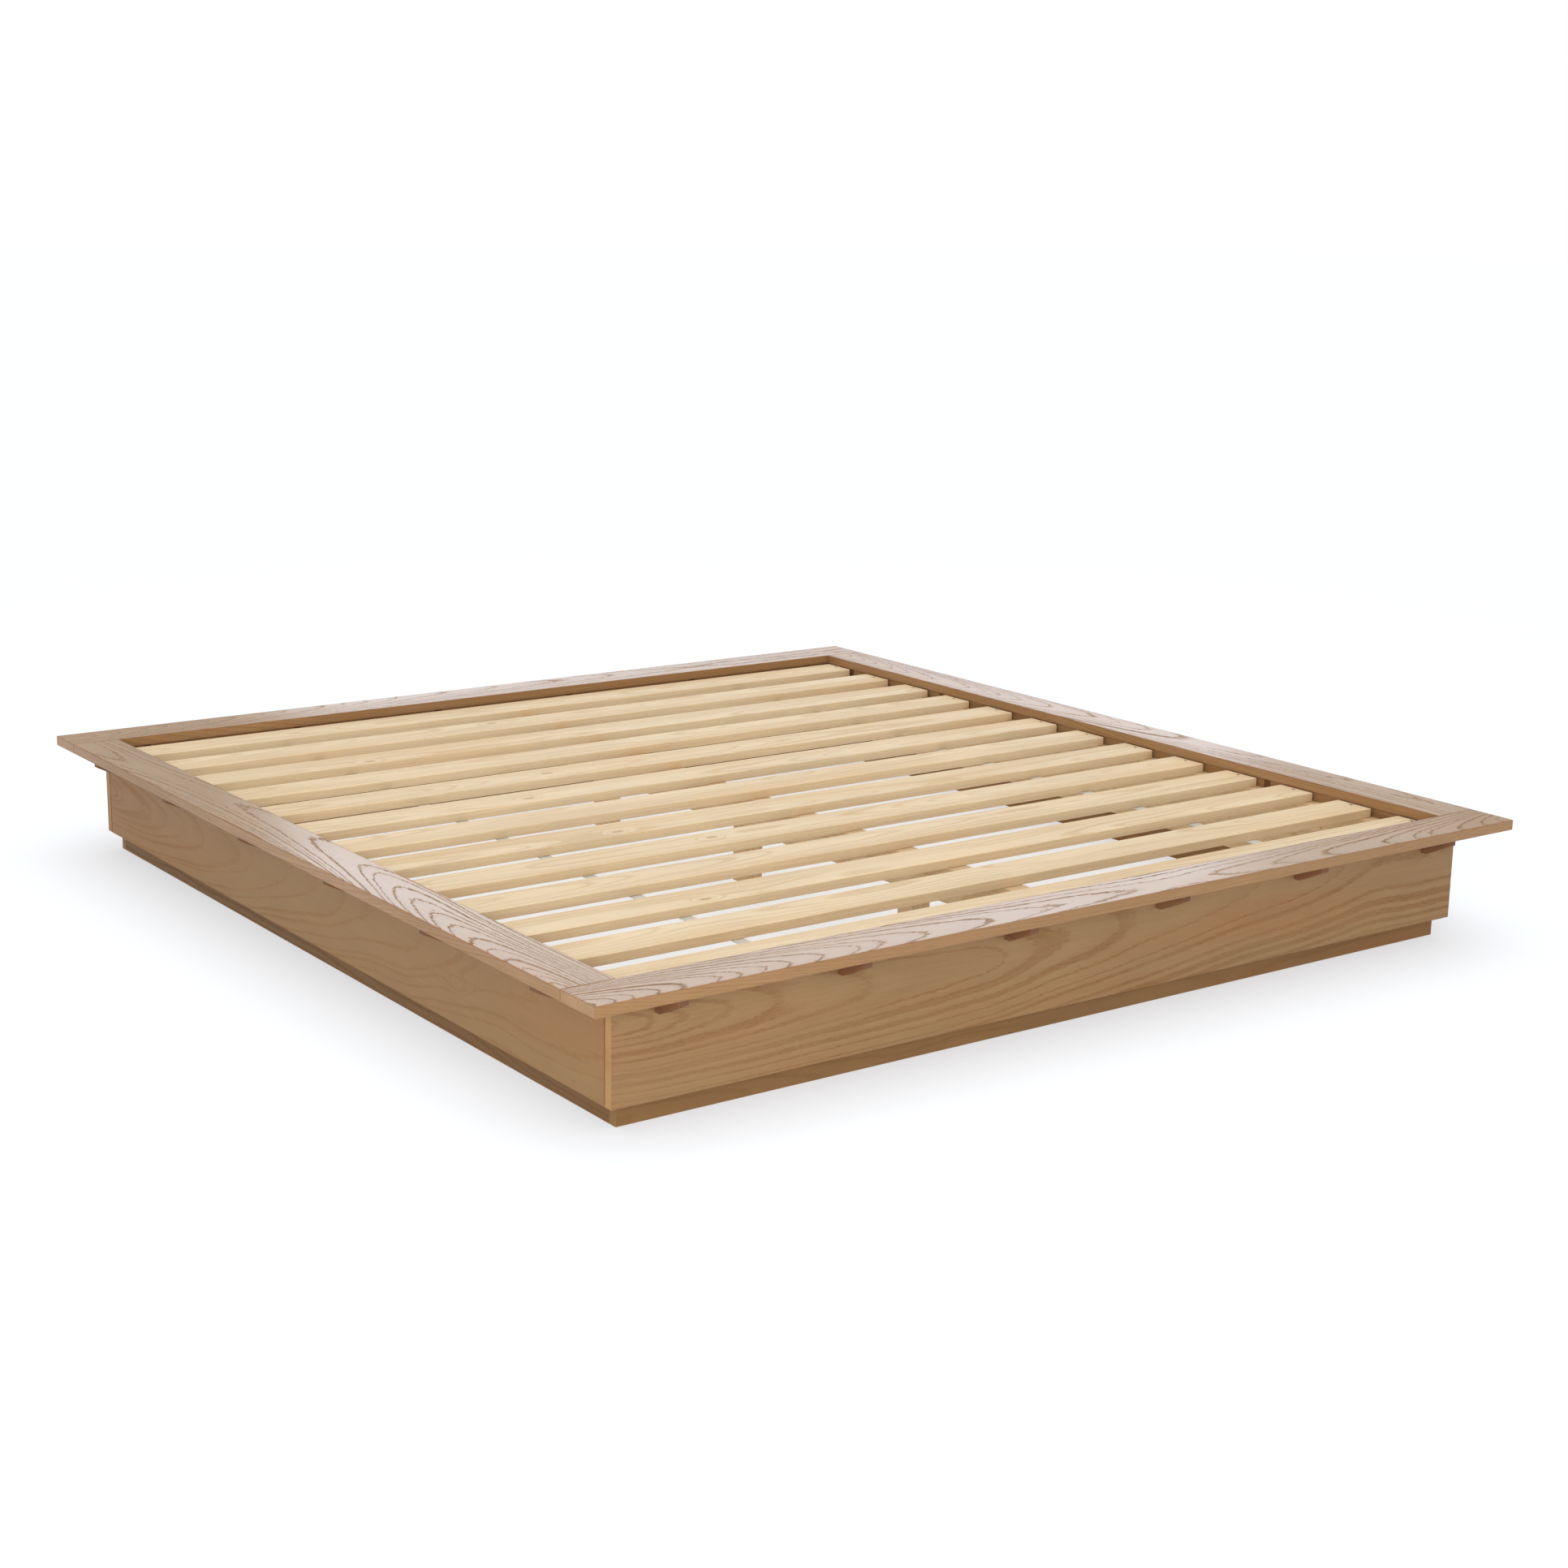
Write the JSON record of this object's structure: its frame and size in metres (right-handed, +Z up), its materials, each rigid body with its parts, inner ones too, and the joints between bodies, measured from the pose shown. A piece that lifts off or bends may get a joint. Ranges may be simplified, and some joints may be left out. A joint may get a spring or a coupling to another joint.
{
  "type": "platform bed frame",
  "caption": "Low wooden platform bed frame: a wide flat ledge on tapered brackets round a panelled box, slatted inside, standing on a recessed plinth.",
  "frame": {"origin": "centre of the footprint, on the floor", "axes": "+Z up, +Y from the foot end to the head end, +X across the bed"},
  "size_m": [2.154, 2.25, 0.248],
  "materials": {
    "oak_ledge": "satin lacquer, open oak grain",
    "oak_panel": "satin lacquer, oak veneer",
    "oak_plinth": "satin lacquer, darker oak veneer",
    "oak_bracket": "satin lacquer, solid oak",
    "spruce_rail": "planed, unfinished",
    "beech_block": "planed, unfinished",
    "beech_dowel": "fluted beech",
    "pine_slat": "planed, unfinished",
    "spruce_beam": "planed, unfinished",
    "webbing": "plain woven tape",
    "nylon_pad": "moulded nylon",
    "zinc_steel": "zinc plated",
    "screw_steel": "yellow zinc plated",
    "bolt_steel": "black oxide",
    "hanger_steel": "black powder coat",
    "brass_insert": "turned brass"
  },
  "bodies": {
    "frame": {"beam_hanger_foot": "hanger_steel", "beam_hanger_head": "hanger_steel", "bracket_screws": "screw_steel", "brackets_foot": "oak_bracket", "brackets_head": "oak_bracket", "brackets_left": "oak_bracket", "brackets_right": "oak_bracket", "centre_beam": "spruce_beam", "centre_leg_1": "spruce_beam", "centre_leg_2": "spruce_beam", "centre_leg_3": "spruce_beam", "corner_block_foot_left": "beech_block", "corner_block_foot_right": "beech_block", "corner_block_head_left": "beech_block", "corner_block_head_right": "beech_block", "corner_bolts": "bolt_steel", "corner_inserts": "brass_insert", "dowels": "beech_dowel", "hanger_screws": "screw_steel", "inner_rail_foot": "spruce_rail", "inner_rail_head": "spruce_rail", "inner_rail_left": "spruce_rail", "inner_rail_right": "spruce_rail", "ledge_foot": "oak_ledge", "ledge_head": "oak_ledge", "ledge_left": "oak_ledge", "ledge_right": "oak_ledge", "ledge_screws": "screw_steel", "leg_bolts": "zinc_steel", "leg_tnuts": "zinc_steel", "panel_foot": "oak_panel", "panel_head": "oak_panel", "panel_left": "oak_panel", "panel_right": "oak_panel", "plinth_foot": "oak_plinth", "plinth_head": "oak_plinth", "plinth_left": "oak_plinth", "plinth_right": "oak_plinth", "rail_screws": "screw_steel", "slat_01": "pine_slat", "slat_02": "pine_slat", "slat_03": "pine_slat", "slat_04": "pine_slat", "slat_05": "pine_slat", "slat_06": "pine_slat", "slat_07": "pine_slat", "slat_08": "pine_slat", "slat_09": "pine_slat", "slat_10": "pine_slat", "slat_11": "pine_slat", "slat_12": "pine_slat", "slat_13": "pine_slat", "slat_screws": "screw_steel", "slat_webbing": "webbing"},
    "leveller_pad_1": {"leveller_pad_1": "nylon_pad"},
    "leveller_stud_1": {"leveller_stud_1": "zinc_steel"},
    "leveller_pad_2": {"leveller_pad_2": "nylon_pad"},
    "leveller_stud_2": {"leveller_stud_2": "zinc_steel"},
    "leveller_pad_3": {"leveller_pad_3": "nylon_pad"},
    "leveller_stud_3": {"leveller_stud_3": "zinc_steel"}
  },
  "joints": [
    {"name": "leveller_height_1", "type": "slide", "parent": "frame", "child": "leveller_pad_1", "axis": [0, 0, 1], "range_m": [-0.01, 0.00375]},
    {"name": "leveller_turn_1", "type": "hinge", "parent": "leveller_pad_1", "child": "leveller_stud_1", "pos_m": [0, -0.56, 0.009], "axis": [0, 0, 1], "range_deg": [-2885, 1085]},
    {"name": "leveller_height_2", "type": "slide", "parent": "frame", "child": "leveller_pad_2", "axis": [0, 0, 1], "range_m": [-0.01, 0.00375]},
    {"name": "leveller_turn_2", "type": "hinge", "parent": "leveller_pad_2", "child": "leveller_stud_2", "pos_m": [0, 0, 0.009], "axis": [0, 0, 1], "range_deg": [-2885, 1085]},
    {"name": "leveller_height_3", "type": "slide", "parent": "frame", "child": "leveller_pad_3", "axis": [0, 0, 1], "range_m": [-0.01, 0.00375]},
    {"name": "leveller_turn_3", "type": "hinge", "parent": "leveller_pad_3", "child": "leveller_stud_3", "pos_m": [0, 0.56, 0.009], "axis": [0, 0, 1], "range_deg": [-2885, 1085]}
  ],
  "couplings": [
    {"joint": "leveller_turn_1", "follows": "leveller_height_1", "rad_per_m": 5026.5},
    {"joint": "leveller_turn_2", "follows": "leveller_height_2", "rad_per_m": 5026.5},
    {"joint": "leveller_turn_3", "follows": "leveller_height_3", "rad_per_m": 5026.5}
  ]
}
